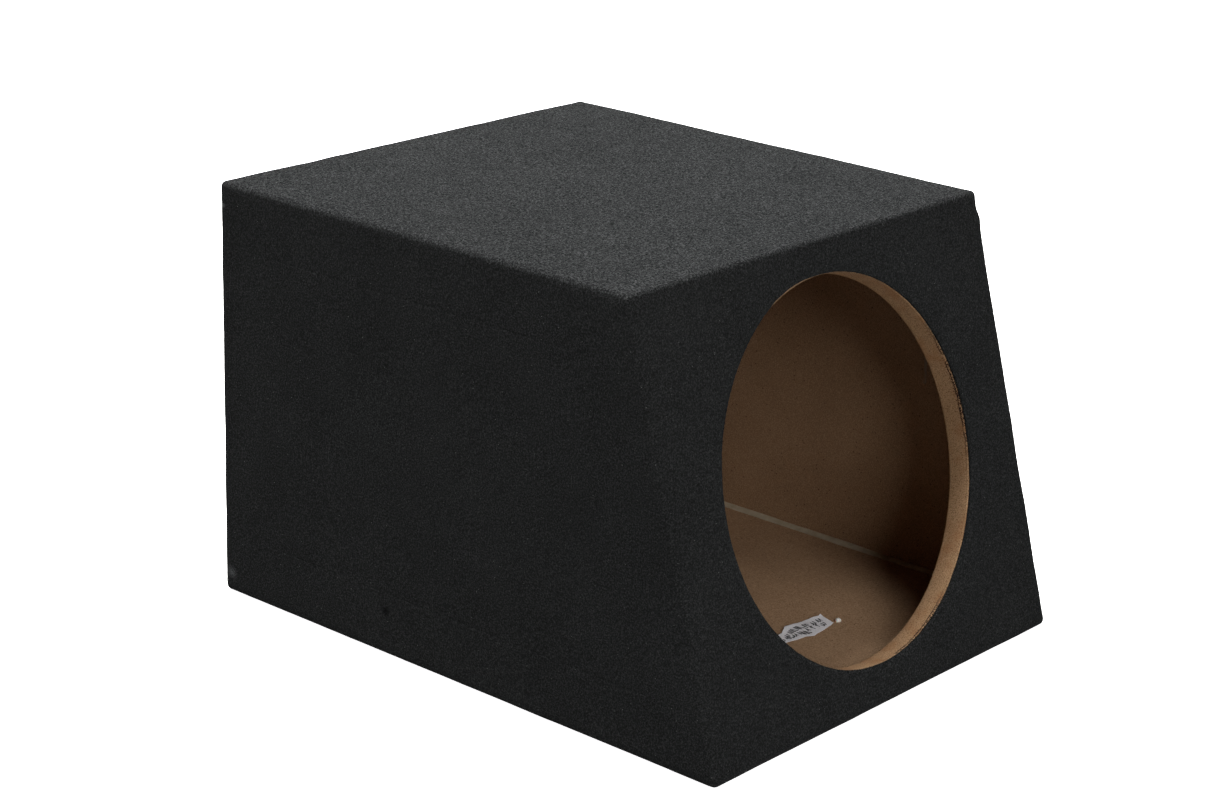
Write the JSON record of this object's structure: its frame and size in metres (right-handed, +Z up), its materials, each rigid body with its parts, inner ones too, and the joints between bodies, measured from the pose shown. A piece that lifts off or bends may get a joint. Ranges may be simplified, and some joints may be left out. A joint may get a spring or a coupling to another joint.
{
  "type": "speaker cabinet",
  "caption": "Carpeted wedge-shaped speaker cabinet with a sloping baffle, a round driver cut-out and a sprung wire terminal at the back.",
  "frame": {"origin": "on the floor, under the middle of the cabinet's bounding box", "axes": "+X to the right seen from the front, +Y to the back, +Z up; the baffle faces -Y and leans back"},
  "size_m": [0.4, 0.495, 0.327],
  "materials": {
    "mdf": "raw MDF, smooth faces and porous sawn edges",
    "carpet": "charcoal needle-punched cabinet carpet",
    "steel_brad": "drawn steel wire",
    "sealant": "dried acrylic caulk, satin",
    "hot_glue": "set glue, glossy",
    "paper": "plain white label paper",
    "abs_black": "moulded ABS, fine spark texture",
    "abs_red": "moulded ABS, satin",
    "abs_black_lever": "moulded ABS, satin",
    "foam": "closed-cell foam",
    "black_zinc": "black zinc-plated steel screw",
    "spring_steel": "zinc-plated spring wire",
    "brass": "stamped brass sheet"
  },
  "bodies": {
    "root": {"left_side_board": "mdf", "right_side_board": "mdf", "top_board": "mdf", "bottom_board": "mdf", "rear_board": "mdf", "front_baffle": "mdf", "brad_nails": "steel_brad", "carpet_wrap": "carpet", "bottom_carpet": "carpet", "left_side_carpet": "carpet", "right_side_carpet": "carpet", "glue_drip": "hot_glue", "glue_drop": "hot_glue", "paper_label": "paper", "terminal_cup": "abs_black", "cup_gasket": "foam", "cup_screws": "black_zinc", "black_lever_pin": "spring_steel", "black_lever_spring": "spring_steel", "black_contact": "brass", "red_lever_pin": "spring_steel", "red_lever_spring": "spring_steel", "red_contact": "brass", "sealant_floor_left": "sealant", "sealant_floor_right": "sealant", "sealant_floor_rear": "sealant", "sealant_floor_baffle": "sealant", "sealant_top_left": "sealant", "sealant_top_right": "sealant", "sealant_top_rear": "sealant", "sealant_top_baffle": "sealant", "sealant_rear_left": "sealant", "sealant_rear_right": "sealant", "sealant_baffle_left": "sealant", "sealant_baffle_right": "sealant"},
    "black_lever_body": {"black_lever": "abs_black_lever"},
    "red_lever_body": {"red_lever": "abs_red"}
  },
  "joints": [
    {"name": "black_lever_press", "type": "hinge", "parent": "root", "child": "black_lever_body", "pos_m": [-0.0145, 0.23645, 0.127], "axis": [-1, 0, 0], "range_deg": [0, 12], "stiffness_Nm_per_rad": 0.1, "springref_deg": -8.59, "deforming": ["black_lever_spring"]},
    {"name": "red_lever_press", "type": "hinge", "parent": "root", "child": "red_lever_body", "pos_m": [0.0145, 0.23645, 0.127], "axis": [-1, 0, 0], "range_deg": [0, 12], "stiffness_Nm_per_rad": 0.1, "springref_deg": -8.59, "deforming": ["red_lever_spring"]}
  ]
}
